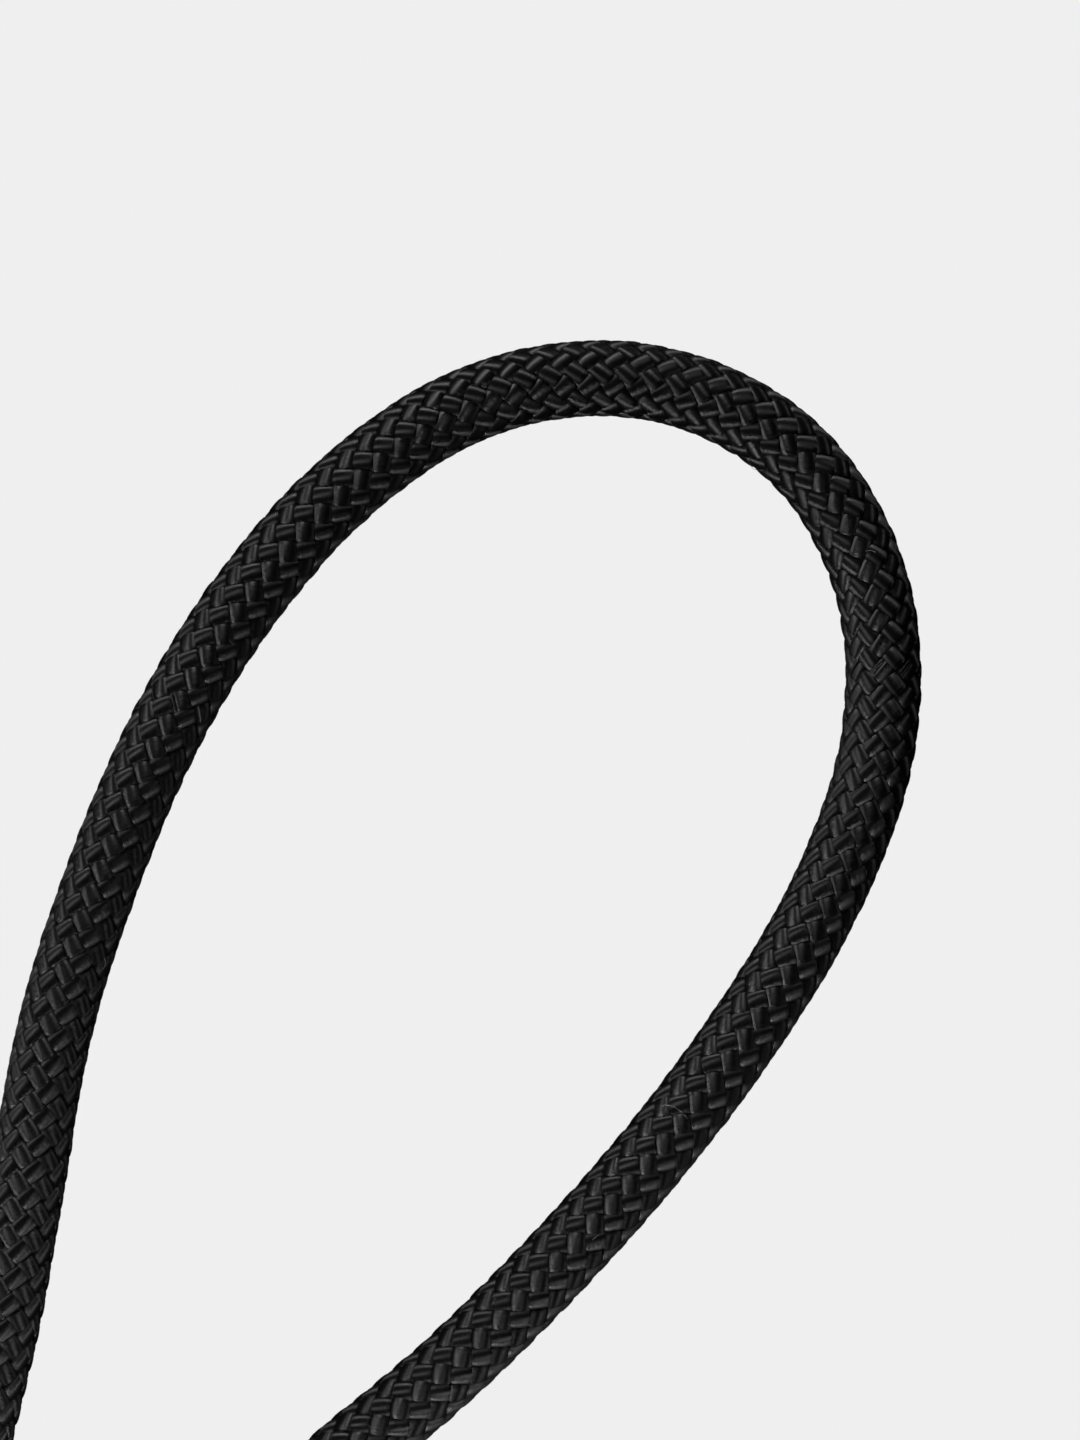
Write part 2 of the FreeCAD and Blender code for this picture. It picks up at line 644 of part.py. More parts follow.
def make_c_mouth():
    inner_width = C_SHELL_WIDTH - 2 * C_SHELL_WALL
    inner_height = C_SHELL_HEIGHT - 2 * C_SHELL_WALL
    outer = c_stadium(C_SHELL_WIDTH, C_SHELL_HEIGHT, C_TIP, C_SHELL_END)
    save_c("usb_c_shell", outer.cut(c_stadium(inner_width, inner_height, C_TIP - PAST, C_SHELL_END + PAST)))
    width = inner_width - 2 * SLIP
    height = inner_height - 2 * SLIP
    front = c_stadium(width, height, C_INSULATOR_START, C_CARRIER_START)
    half = C_CAVITY_HEIGHT / 2
    cavity = block(C_CAVITY_WIDTH, C_TIP, C_CARRIER_START + PAST, C_AXIS_Z - half, C_AXIS_Z + half)
    front = front.cut(cavity)
    carrier = c_stadium(width, height, C_CARRIER_START, C_CARRIER_END)
    for side, pins in ((1, C_UPPER_PINS), (-1, C_LOWER_PINS)):
        for pin in pins:
            front = front.cut(c_contact_slot(pin, side))
    half_board = C_BOARD_THICKNESS / 2
    rear_step = block(width, C_CARRIER_END - C_BOARD_INSET - SLIP, C_CARRIER_END + PAST, 0, C_HOUSING_HEIGHT)
    carrier = carrier.cut(rear_step)
    for side, pins in ((1, C_UPPER_PINS), (-1, C_LOWER_PINS)):
        for pin in pins:
            carrier = carrier.cut(c_tail(pin, side))
    for space in (c_latch_space(), mirrored(c_latch_space())):
        front = front.cut(space)
        carrier = carrier.cut(space)
    save_c("usb_c_front_insulator", front)
    save_c("usb_c_contact_carrier", carrier)
    board_start = C_CARRIER_END - C_BOARD_INSET - SLIP
    board = block(C_BOARD_WIDTH, board_start, C_BOARD_END, C_AXIS_Z - half_board, C_AXIS_Z + half_board)
    save_c("usb_c_board", board)
    save_c("usb_c_right_latch", c_latch())
    save_c("usb_c_left_latch", mirrored(c_latch()))


def make_c_contacts():
    save_c("usb_c_upper_contacts", Part.makeCompound([c_contact(pin, 1) for pin in C_UPPER_PINS]))
    save_c("usb_c_lower_contacts", Part.makeCompound([c_contact(pin, -1) for pin in C_LOWER_PINS]))
    tails = [c_tail(pin, 1) for pin in C_UPPER_PINS] + [c_tail(pin, -1) for pin in C_LOWER_PINS]
    save_c("usb_c_contact_tails", Part.makeCompound(tails))


def make_c_board_parts():
    top = C_AXIS_Z + C_BOARD_THICKNESS / 2
    solder_end = C_BOARD_END - C_PAD_INSET
    width, length, height = C_RESISTOR
    resistor_end = solder_end - C_SOLDER_LENGTH - C_RESISTOR_GAP
    resistor = block(width, resistor_end - length, resistor_end, top, top + height, C_RESISTOR_X)
    save_c("usb_c_resistor", resistor)
    joints = []
    places = [C_PAD_SPACING * step for step in (-1.5, -0.5, 0.5, 1.5)]
    for x in places:
        start = solder_end - C_SOLDER_LENGTH
        joints.append(solder_lump(block(C_SOLDER_WIDTH, start, solder_end, top, top + C_SOLDER_HEIGHT, x)))
    save_c("usb_c_solder", Part.makeCompound(joints))
    ends = wire_ends(C_AXIS_Z)
    z = top + C_SOLDER_HEIGHT / 2
    for colour, x, (end_x, end_z) in zip(("red", "white", "green", "black"), places, ends):
        wire = s_wire((x, solder_end, z), (end_x, C_CORD_END, end_z), WIRE_RADIUS)
        save_c("usb_c_wire_" + colour, wire)


def make_c_body():
    can_start = C_SHELL_END - C_CAN_GRIP
    outer = rounded_bar(C_CAN_WIDTH, C_CAN_HEIGHT, C_CAN_CORNER, can_start, C_CAN_END, C_AXIS_Z)
    space = rounded_bar(
        C_CAN_WIDTH - 2 * C_CAN_WALL,
        C_CAN_HEIGHT - 2 * C_CAN_WALL,
        C_CAN_CORNER - C_CAN_WALL,
        can_start + C_CAN_WALL,
        C_CAN_END - C_CAN_WALL,
        C_AXIS_Z,
    )
    shell = c_stadium(C_SHELL_WIDTH, C_SHELL_HEIGHT, C_TIP, C_SHELL_END)
    can = outer.cut(space).cut(shell)
    save_c("usb_c_rear_can", can.cut(rod(CORD_RADIUS, C_CORD_END, C_CAN_END + PAST, 0, C_AXIS_Z)))
    width = C_HOUSING_WIDTH - 2 * C_HOUSING_WALL
    height = C_HOUSING_HEIGHT - 2 * C_HOUSING_WALL
    corner = C_HOUSING_CORNER - C_HOUSING_WALL
    end = C_REAR - C_RELIEF_HEAD
    ferrule_radius = CORD_RADIUS + C_FERRULE_WALL
    mould = rounded_bar(width, height, corner, C_FRONT + C_MOULD_SETBACK, end, C_AXIS_Z)
    mould = mould.cut(shell).cut(outer)
    mould = mould.cut(rod(ferrule_radius, C_CAN_END - SLIP, end + PAST, 0, C_AXIS_Z))
    save_c("usb_c_inner_mould", mould)
    ferrule = rod(ferrule_radius, C_CAN_END, end, 0, C_AXIS_Z)
    save_c("usb_c_ferrule", ferrule.cut(rod(CORD_RADIUS, C_FRONT, C_REAR, 0, C_AXIS_Z)))
    save_c("usb_c_cord_end", rod(CORD_RADIUS, C_CORD_END, C_REAR + C_RELIEF_LENGTH, 0, C_AXIS_Z))
    boot = relief_boot(C_RELIEF_BASE_RADIUS, C_RELIEF_END_RADIUS, C_REAR, C_RELIEF_LENGTH, C_AXIS_Z)
    mouth = C_REAR + C_RELIEF_LENGTH
    relief = strain_relief(width, height, corner, C_RELIEF_HEAD, boot, C_REAR, C_AXIS_Z, mouth)
    save_c("usb_c_strain_relief", relief)
    housing = sleeve(
        C_HOUSING_WIDTH,
        C_HOUSING_HEIGHT,
        C_HOUSING_LENGTH,
        C_HOUSING_CORNER,
        C_HOUSING_WALL,
        C_HOUSING_EDGE,
        C_AXIS_Z,
    )
    save_c("usb_c_housing", housing)


# ---- coil and tie ----
COIL_OUTSIDE = COIL_OUTER_TURN + CORD_RADIUS + COIL_SLACK
COIL_INSIDE = COIL_OUTER_TURN - COIL_PITCH * TURNS_PER_LAYER - CORD_RADIUS - COIL_SLACK
COIL_HEIGHT = CORD_DIAMETER + LAYER_RISE + COIL_SLACK / 2


def ring(inner, outer, low, high, corner, middle_degrees=0.0, span_degrees=360.0):
    """Part of a ring about the coil's axis, with a round-cornered section."""
    section = rounded_bar(outer - inner, high - low, corner, 0, 1, (low + high) / 2)
    start_face = None
    for face in section.Faces:
        if abs(face.CenterOfMass.y) < SAME:
            start_face = face
    start_face = start_face.copy()
    start_face.translate(Vector(COIL_CENTRE_X + (inner + outer) / 2, COIL_CENTRE_Y, 0))
    axis_point = Vector(COIL_CENTRE_X, COIL_CENTRE_Y, 0)
    start_face.rotate(axis_point, Vector(0, 0, 1), middle_degrees - span_degrees / 2)
    return start_face.revolve(axis_point, Vector(0, 0, 1), span_degrees)


def tie_span():
    """The angle that the tie's width covers at the middle of the turns."""
    return math.degrees(TIE_WIDTH / ((COIL_OUTSIDE + COIL_INSIDE) / 2))


def make_coil_and_tie():
    span = tie_span()
    under_tie = ring(COIL_INSIDE, COIL_OUTSIDE, TIE_THICKNESS, COIL_HEIGHT + TIE_THICKNESS, COIL_CORNER, TIE_DIRECTION, span)
    coil = ring(COIL_INSIDE, COIL_OUTSIDE, 0, COIL_HEIGHT, COIL_CORNER, TIE_DIRECTION + 180, 360 - span)
    coil = coil.fuse(under_tie)
    coil = coil.fuse(rod(CORD_RADIUS, COIL_CENTRE_Y, COIL_CENTRE_Y + COIL_STUB, COIL_SIDE_X, LOWER_TURN_Z))
    coil = coil.fuse(rod(CORD_RADIUS, COIL_CENTRE_Y - COIL_STUB, COIL_CENTRE_Y, COIL_SIDE_X, UPPER_TURN_Z))
    save("cable_coil", coil)
    inner = COIL_INSIDE - TIE_THICKNESS
    outer = COIL_OUTSIDE + TIE_THICKNESS
    top = COIL_HEIGHT + 2 * TIE_THICKNESS
    band = ring(inner, outer, 0, top, COIL_CORNER + TIE_THICKNESS, TIE_DIRECTION, span)
    middle = (COIL_INSIDE + COIL_OUTSIDE) / 2
    flap_corner = 0.45 * TIE_THICKNESS
    half = TIE_OVERLAP / 2
    flap = ring(middle - half, middle + half, top - TIE_GAP, top + TIE_THICKNESS, flap_corner, TIE_DIRECTION, span)
    space = ring(
        COIL_INSIDE - TIE_GAP,
        COIL_OUTSIDE + TIE_GAP,
        TIE_THICKNESS - TIE_GAP,
        COIL_HEIGHT + TIE_THICKNESS + TIE_GAP,
        COIL_CORNER + TIE_GAP,
        TIE_DIRECTION,
        span + TIE_GAP,
    )
    save("cable_tie", band.cut(space).fuse(flap).removeSplitter())


def make_cord():
    loop, loop_length = cord_tube("cable_loop", LOOP_ROUTE, CORD_DIAMETER)
    tail, tail_length = cord_tube("cable_tail", TAIL_ROUTE, CORD_DIAMETER)
    save("cable_loop", loop)
    save("cable_tail", tail)
    mean_turn = COIL_OUTER_TURN - COIL_PITCH * TURNS_PER_LAYER / 2
    coil_length = 2 * TURNS_PER_LAYER * 2 * math.pi * mean_turn + 2 * COIL_STUB
    cord = loop_length + coil_length + tail_length
    plugs = (A_MOUTH_Y - A_TIP) + (C_REAR + C_RELIEF_LENGTH - C_TIP)
    print("cord", round(cord), "mm, tip to tip", round(cord + plugs), "mm")


make_usb_a()
make_c_mouth()
make_c_contacts()
make_c_board_parts()
make_c_body()
make_coil_and_tie()
make_cord()
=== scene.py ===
"""Looks of the braided charging cable: free loop, tied coil and two plugs, in metres, on the CAD's frame."""
import json
import math

import bpy
import numpy as np
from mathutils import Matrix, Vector


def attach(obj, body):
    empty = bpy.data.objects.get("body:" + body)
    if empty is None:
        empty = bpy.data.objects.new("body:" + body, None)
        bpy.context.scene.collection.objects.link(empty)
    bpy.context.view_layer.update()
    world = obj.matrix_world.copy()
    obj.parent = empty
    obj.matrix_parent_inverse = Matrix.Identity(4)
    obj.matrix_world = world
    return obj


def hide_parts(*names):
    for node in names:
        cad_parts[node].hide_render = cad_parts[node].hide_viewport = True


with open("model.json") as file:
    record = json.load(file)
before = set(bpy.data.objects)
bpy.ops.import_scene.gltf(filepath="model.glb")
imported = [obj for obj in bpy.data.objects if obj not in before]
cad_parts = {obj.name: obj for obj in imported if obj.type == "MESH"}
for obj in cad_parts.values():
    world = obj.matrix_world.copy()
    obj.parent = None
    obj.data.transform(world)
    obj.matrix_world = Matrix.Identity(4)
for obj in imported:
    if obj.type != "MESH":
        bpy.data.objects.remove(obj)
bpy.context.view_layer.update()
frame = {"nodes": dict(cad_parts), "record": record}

# ---- The cord ----
CORD_DIAMETER = 0.004
CORD_RADIUS = CORD_DIAMETER / 2
CORD_LENGTH = 0.935
CURVE_STEPS = 48            # points that the curve gives for each of its segments
# The run from the USB-A plug round the loop to the coil.
LOOP_ROUTE = [
    (0.0, 0.023, 0.0039),
    (0.0, 0.030, 0.0039),
    (0.0, 0.038, 0.002),
    (0.0003, 0.0475, 0.002),
    (0.0011, 0.0585, 0.002),
    (0.0029, 0.0695, 0.002),
    (0.0052, 0.0795, 0.002),
    (0.00755, 0.0883, 0.002),
    (0.00895, 0.0964, 0.002),
    (0.0102, 0.1043, 0.002),
    (0.0127, 0.1121, 0.002),
    (0.0159, 0.1198, 0.002),
    (0.0202, 0.1269, 0.002),
    (0.0259, 0.1333, 0.002),
    (0.0330, 0.1378, 0.002),
    (0.0415, 0.1386, 0.002),
    (0.04915, 0.1350, 0.002),
    (0.0534, 0.1278, 0.002),
    (0.0537, 0.1193, 0.002),
    (0.0508, 0.1113, 0.002),
    (0.0464, 0.1041, 0.002),
    (0.0414, 0.0975, 0.002),
    (0.0358, 0.0913, 0.002),
    (0.0301, 0.0857, 0.002),
    (0.0236, 0.0806, 0.002),
    (0.0201, 0.0751, 0.002),
    (0.0185, 0.0688, 0.002),
    (0.0185, 0.0623, 0.002),
]
# The run from the coil to the USB-C plug.
TAIL_ROUTE = [
    (0.0185, 0.0303, 0.0061),
    (0.0185, 0.0223, 0.0061),
    (0.0185, 0.0143, 0.0034),
    (0.0185, 0.0063, 0.0034),
]
COIL_CENTRE = (0.0445, 0.0463)
COIL_OUTER_TURN = 0.026     # radius at the middle of the outermost turn
COIL_PITCH = 0.0042         # from turn to turn
COIL_LAYER_TURNS = 2.5
COIL_POINTS_PER_TURN = 16
COIL_LAYERS_Z = (0.002, 0.0061)
COIL_START = math.pi        # the first turn leaves the loop's end here
TIE_DIRECTION = -math.pi / 2
TIE_RISE = 0.0008           # the turns lie this much higher where the tie passes under them
TIE_RISE_SPREAD = 1.2       # coil points each side of the tie that are lifted

# ---- The braid ----
STRANDS_EACH_WAY = 8
LAY_LENGTH = 0.0112         # along the cord for one whole turn of a strand
LAY_START = 0.00092         # where the first strand lies on top
FLOAT_LENGTH = LAY_LENGTH / STRANDS_EACH_WAY
BEND_MIDDLE = 0.142         # the loop's bend, where the braid is pushed a little closer
BEND_REACH = 0.06           # how far each side of its middle
BEND_CLOSING = 0.068        # how much closer the turns are at its middle, as a share
BRAID_TWIST = 8.7           # slow turn of the whole braid along the cord, in radians a metre
TWIST_START = 0.095         # where that turn is zero
STRAND_WIDTH = 0.00106
STRAND_THICKNESS = 0.00034
STRAND_WAVE = 0.00017       # how far a strand rises over and dips under the ones it crosses
WAVE_FLATNESS = 1.6         # more keeps a strand level for longer between its crossings
BRAID_RADIUS = CORD_RADIUS - STRAND_WAVE - STRAND_THICKNESS / 2
CORE_RADIUS = BRAID_RADIUS - STRAND_WAVE / 2
STRAND_SLANT = math.atan(2 * math.pi * BRAID_RADIUS / LAY_LENGTH)
STRAND_WANDER = 0.03        # unevenness of a strand's place round the cord, in radians
LIFT_VARIATION = 0.12       # unevenness of its rise
WIDTH_VARIATION = 0.06      # unevenness of its width and thickness
# Seed and spacing along the cord of each unevenness.
WANDER_NOISE = (11, 0.0021)
LIFT_NOISE = (12, 0.0013)
WIDTH_NOISE = (13, 0.0017)
THICKNESS_NOISE = (14, 0.0015)
FLOAT_SPREAD = 0.05         # how much wider a strand is where it lies on top
CROWN_FULLNESS = 0.6        # 1 makes a strand's section an ellipse, less makes it fuller
STRAND_OFFSET = 0.37        # between the filament patterns of neighbouring strands, in metres


def coil_points():
    """Places on the coil's turns: one layer winding inwards, then one on it winding outwards."""
    layer_steps = round(COIL_LAYER_TURNS * COIL_POINTS_PER_TURN)
    step = 2 * math.pi / COIL_POINTS_PER_TURN
    # The spline runs inside its points, so they are set out until it reaches the turn's radius.
    fullness = 2 / (1 + math.cos(step / 2) ** 2)
    points = []
    for i in range(2 * layer_steps + 1):
        angle = COIL_START + i * step
        turns_in = min(i, 2 * layer_steps - i) / COIL_POINTS_PER_TURN
        radius = COIL_OUTER_TURN - turns_in * COIL_PITCH
        if 0 < i < 2 * layer_steps:
            radius *= fullness
        if i < layer_steps:
            z = COIL_LAYERS_Z[0]
        elif i > layer_steps:
            z = COIL_LAYERS_Z[1]
        else:
            z = sum(COIL_LAYERS_Z) / 2
        from_tie = (angle - TIE_DIRECTION + math.pi) % (2 * math.pi) - math.pi
        if abs(from_tie) < TIE_RISE_SPREAD * step:
            z += TIE_RISE
        x = COIL_CENTRE[0] + radius * math.cos(angle)
        y = COIL_CENTRE[1] + radius * math.sin(angle)
        points.append((x, y, z))
    return points


def spline_points(places, steps):
    """Points along the smooth spline that these places control."""
    curve = bpy.data.curves.new("line", "CURVE")
    curve.dimensions = "3D"
    curve.resolution_u = steps
    spline = curve.splines.new("NURBS")
    spline.points.add(len(places) - 1)
    for point, place in zip(spline.points, places):
        point.co = (*place, 1.0)
    spline.order_u = 3
    spline.use_endpoint_u = True
    holder = bpy.data.objects.new("line", curve)
    mesh = bpy.data.meshes.new_from_object(holder)
    line = np.empty(len(mesh.vertices) * 3)
    mesh.vertices.foreach_get("co", line)
    bpy.data.objects.remove(holder)
    bpy.data.curves.remove(curve)
    bpy.data.meshes.remove(mesh)
    return line.reshape(-1, 3)


def unit(vectors):
    return vectors / np.linalg.norm(vectors, axis=-1, keepdims=True)


class Line:
    """The cord's middle line with an unturning frame along it, looked up by distance from its start."""

    def __init__(self, points):
        gaps = np.linalg.norm(np.diff(points, axis=0), axis=1)
        points = points[np.concatenate([[True], gaps > 0])]
        gaps = np.linalg.norm(np.diff(points, axis=0), axis=1)
        self.points = points
        self.along = np.concatenate([[0.0], np.cumsum(gaps)])
        self.length = self.along[-1]
        self.tangents = unit(np.gradient(points, self.along, axis=0))
        normal = np.array([0.0, 0.0, 1.0])
        normals = []
        for tangent in self.tangents:
            normal = normal - tangent * normal.dot(tangent)
            normal = normal / math.sqrt(normal.dot(normal))
            normals.append(normal)
        self.normals = np.array(normals)

    def at(self, distances):
        """Place, tangent, normal and side direction at each distance."""
        found = []
        for values in (self.points, self.tangents, self.normals):
            columns = [np.interp(distances, self.along, values[:, axis]) for axis in range(3)]
            found.append(np.stack(columns, axis=-1))
        place, tangent, normal = found
        tangent = unit(tangent)
        normal = unit(normal - tangent * np.sum(normal * tangent, axis=-1, keepdims=True))
        return place, tangent, normal, np.cross(tangent, normal)


def add_piece(name, rings, material, uvs=None):
    """A smooth mesh of closed tubes. rings: tubes x rings x points x 3. uvs: the same shape x 2."""
    tubes, count, around, _ = rings.shape
    mesh = bpy.data.meshes.new(name)
    mesh.vertices.add(tubes * count * around)
    mesh.vertices.foreach_set("co", rings.astype(np.float32).ravel())
    index = np.arange(tubes * count * around).reshape(tubes, count, around)
    after = np.roll(index, -1, axis=2)
    sides = np.stack([index[:, :-1], after[:, :-1], after[:, 1:], index[:, 1:]], axis=-1).reshape(-1, 4)
    caps = np.concatenate([index[:, 0, ::-1], index[:, -1]]).reshape(-1, around)
    loops = np.concatenate([sides.ravel(), caps.ravel()])
    starts = np.concatenate([np.arange(len(sides)) * 4, sides.size + np.arange(len(caps)) * around])
    mesh.loops.add(len(loops))
    mesh.loops.foreach_set("vertex_index", loops.astype(np.int32))
    mesh.polygons.add(len(starts))
    mesh.polygons.foreach_set("loop_start", starts.astype(np.int32))
    mesh.polygons.foreach_set("use_smooth", np.arange(len(starts)) < len(sides))
    if uvs is not None:
        layer = mesh.uv_layers.new(name="strand")
        wrapped = np.concatenate([uvs, uvs[:, :, :1]], axis=2)
        wrapped[:, :, -1, 1] = 1.0
        this, following = wrapped[:, :-1], wrapped[:, 1:]
        corner = [this[:, :, :-1], this[:, :, 1:], following[:, :, 1:], following[:, :, :-1]]
        corner = np.stack(corner, axis=3)
        ends = np.concatenate([uvs[:, 0, ::-1], uvs[:, -1]]).reshape(-1, 2)
        values = np.concatenate([corner.reshape(-1, 2), ends])
        layer.uv.foreach_set("vector", values.astype(np.float32).ravel())
    mesh.update(calc_edges=True)
    mesh.materials.append(material)
    piece = bpy.data.objects.new(name, mesh)
    bpy.context.collection.objects.link(piece)
    return piece


def smooth_noise(noise, strands, distances):
    """A gently wandering value from -1 to 1 along each strand."""
    seed, spacing = noise
    knot_count = int(CORD_LENGTH * 1.1 / spacing) + 3
    knots = np.random.default_rng(seed).uniform(-1, 1, (strands, knot_count))
    place = distances / spacing + 1
    low = np.floor(place).astype(int)
    part = place - low
    part = part * part * (3 - 2 * part)
    return knots[:, low] * (1 - part) + knots[:, low + 1] * part


def lay_turn(distances):
    """How far a strand has gone round the cord, in radians."""
    from_bend = np.clip(distances - BEND_MIDDLE, -BEND_REACH, BEND_REACH)
    closing = from_bend / 2 + BEND_REACH / (2 * math.pi) * np.sin(math.pi * from_bend / BEND_REACH)
    return 2 * math.pi * (distances + BEND_CLOSING * closing - LAY_START) / LAY_LENGTH


def braid_rings(line, start, end, steps_per_float, around):
    """Rings of points round every strand between two distances along the cord, and their UVs."""
    count = max(2, round((end - start) / FLOAT_LENGTH * steps_per_float) + 1)
    step = (end - start) / (count - 1)
    # One step more at each end, so that the strands' directions there match the next piece's.
    distances = start + step * np.arange(-1, count + 1)
    place, _, normal, side = line.at(distances)
    strands = 2 * STRANDS_EACH_WAY
    number = np.arange(strands)
    hand = np.where(number < STRANDS_EACH_WAY, 1.0, -1.0)[:, None]
    turn = lay_turn(distances)
    twist = BRAID_TWIST * (distances - TWIST_START)
    wander = STRAND_WANDER * smooth_noise(WANDER_NOISE, strands, distances)
    angle = 2 * math.pi * number[:, None] / STRANDS_EACH_WAY + hand * turn + twist + wander
    wave = hand * np.tanh(WAVE_FLATNESS * np.cos(STRANDS_EACH_WAY * turn)) / math.tanh(WAVE_FLATNESS)
    lift_change = 1 + LIFT_VARIATION * smooth_noise(LIFT_NOISE, strands, distances)
    lift = BRAID_RADIUS + STRAND_WAVE * wave * lift_change
    outward = np.cos(angle)[..., None] * normal + np.sin(angle)[..., None] * side
    middle = place + outward * lift[..., None]
    heading = unit(np.gradient(middle, distances, axis=1))
    across = unit(np.cross(outward, heading))
    up = np.cross(heading, across)
    width_change = WIDTH_VARIATION * smooth_noise(WIDTH_NOISE, strands, distances)
    width = STRAND_WIDTH * (1 + width_change + FLOAT_SPREAD * wave)
    thickness_change = WIDTH_VARIATION * smooth_noise(THICKNESS_NOISE, strands, distances)
    thickness = STRAND_THICKNESS * (1 + thickness_change)
    round_angle = 2 * math.pi * np.arange(around) / around
    sideways = np.cos(round_angle) * width[..., None] / 2
    crown = np.sign(np.sin(round_angle)) * np.abs(np.sin(round_angle)) ** CROWN_FULLNESS
    height = crown * thickness[..., None] / 2
    rings = (
        middle[:, :, None]
        + across[:, :, None] * sideways[..., None]
        + up[:, :, None] * height[..., None]
    )
    uvs = np.empty(rings.shape[:3] + (2,))
    along_strand = distances / math.cos(STRAND_SLANT)
    uvs[..., 0] = along_strand[None, :, None] + STRAND_OFFSET * number[:, None, None]
    uvs[..., 1] = (round_angle / (2 * math.pi))[None, None, :]
    return rings[:, 1:-1], uvs[:, 1:-1]


def tube_rings(line, radius, spacing, around):
    distances = np.linspace(0, line.length, round(line.length / spacing) + 1)
    place, _, normal, side = line.at(distances)
    round_angle = 2 * math.pi * np.arange(around) / around
    outward = np.cos(round_angle)[:, None] * normal[:, None] + np.sin(round_angle)[:, None] * side[:, None]
    return place, (place[:, None] + outward * radius)[None]


# ---- Materials ----
class Paint:
    """A Principled material with a small node tree."""

    def __init__(self, name, colour, roughness, metallic=0.0, **inputs):
        self.material = bpy.data.materials.new(name)
        self.material.use_nodes = True
        self.material.diffuse_color = (*colour, 1.0)
        self.material.roughness = roughness
        self.material.metallic = metallic
        self.tree = self.material.node_tree
        self.shader = self.tree.nodes["Principled BSDF"]
        self.set(self.shader, Base_Color=(*colour, 1.0), Roughness=roughness, Metallic=metallic, **inputs)

    def set(self, node, **inputs):
        for name, value in inputs.items():
            socket = node.inputs[name.replace("_", " ")]
            if isinstance(value, bpy.types.NodeSocket):
                self.tree.links.new(value, socket)
            else:
                socket.default_value = value
        return node

    def node(self, kind, settings=None, **inputs):
        node = self.tree.nodes.new("ShaderNode" + kind)
        for name, value in (settings or {}).items():
            setattr(node, name, value)
        return self.set(node, **inputs)

    def place(self, scale):
        """The object's own coordinates, times three factors."""
        coordinates = self.node("TexCoord").outputs["Object"]
        return self.node("Mapping", Vector=coordinates, Scale=scale).outputs["Vector"]

    def noise(self, vector, scale, detail=3.0, roughness=0.5):
        node = self.node("TexNoise", Vector=vector, Scale=scale, Detail=detail, Roughness=roughness)
        return node.outputs["Fac"]

    def spread(self, value, low, high, start=0.3, end=0.7):
        """value between start and end, taken to a number between low and high."""
        node = self.node("MapRange", Value=value)
        self.set(node, From_Min=start, From_Max=end, To_Min=low, To_Max=high)
        return node.outputs["Result"]

    def blend(self, value, dark, light):
        """A colour between two, by a value from 0 to 1."""
        node = self.node("Mix", {"data_type": "RGBA"})
        self.tree.links.new(value, node.inputs["Factor"])
        colours = [socket for socket in node.inputs if socket.type == "RGBA"]
        colours[0].default_value = (*dark, 1.0)
        colours[1].default_value = (*light, 1.0)
        return [socket for socket in node.outputs if socket.type == "RGBA"][0]

    def bump(self, height, strength, distance, normal=None):
        node = self.node("Bump", Strength=strength, Distance=distance, Height=height)
        if normal is not None:
            self.set(node, Normal=normal)
        return node.outputs["Normal"]


NYLON_COLOUR = (0.004, 0.004, 0.0045)
NYLON_DARK = (0.0025, 0.0025, 0.003)
NYLON_LIGHT = (0.006, 0.006, 0.0066)
NYLON_ROUGHNESS = (0.45, 0.56)
NYLON_IOR = 1.5
FILAMENT_SCALE = (260.0, 22.0, 1.0)     # of the filament pattern, along a strand and round it
CLUMP_SCALE = 700.0         # of the rougher and smoother patches


def braid_material():
    """Black nylon filaments lying along each strand."""
    paint = Paint("braided_nylon", NYLON_COLOUR, 0.4, IOR=NYLON_IOR)
    strand = paint.node("UVMap", {"uv_map": "strand"}).outputs["UV"]
    filaments = paint.node("Mapping", Vector=strand, Scale=FILAMENT_SCALE).outputs["Vector"]
    lines = paint.noise(filaments, 1.0, 2.0)
    clumps = paint.noise(paint.place((CLUMP_SCALE, CLUMP_SCALE, CLUMP_SCALE)), 1.0, 2.0)
    tangent = paint.node("Tangent", {"direction_type": "UV_MAP", "uv_map": "strand"}).outputs["Tangent"]
    paint.set(
        paint.shader,
        Base_Color=paint.blend(paint.spread(lines, 0.0, 1.0), NYLON_DARK, NYLON_LIGHT),
        Roughness=paint.spread(clumps, *NYLON_ROUGHNESS),
        Normal=paint.bump(lines, 0.45, 0.00006),
        Tangent=tangent,
        Anisotropic=0.95,
        Anisotropic_Rotation=0.25,
    )
    return paint.material


FIBRE_SCALE = 4000.0        # of a stray filament's unevenness


def fibre_material():
    """One shiny nylon filament. Its pale grey colour is a painted highlight, standing in for the light that
    a thin black filament catches.
    """
    paint = Paint("nylon_filament_painted_glint", (0.16, 0.16, 0.17), 0.35, IOR=NYLON_IOR)
    uneven = paint.noise(paint.place((FIBRE_SCALE, FIBRE_SCALE, FIBRE_SCALE)), 1.0)
    paint.set(
        paint.shader,
        # The pale base colour is a painted highlight of the black filament's glint, and the noise makes it
        # uneven along the filament.
        Base_Color=paint.blend(paint.spread(uneven, 0.0, 1.0), (0.05, 0.05, 0.055), (0.32, 0.32, 0.33)),
        Roughness=paint.spread(uneven, 0.28, 0.45),
        Normal=paint.bump(uneven, 0.4, 0.000004),
    )
    return paint.material


TIE_RIB = 0.0007            # from one woven rib to the next, along the strap
TIE_CORD = 0.0009           # from one warp cord to the next, across it
WAVE_PERIOD = math.pi / 10  # of a wave texture at scale 1
TIE_FUZZ_SCALE = 11000.0    # of the nap on its face
TIE_DARK = (0.0015, 0.0015, 0.0017)
TIE_LIGHT = (0.012, 0.012, 0.0126)


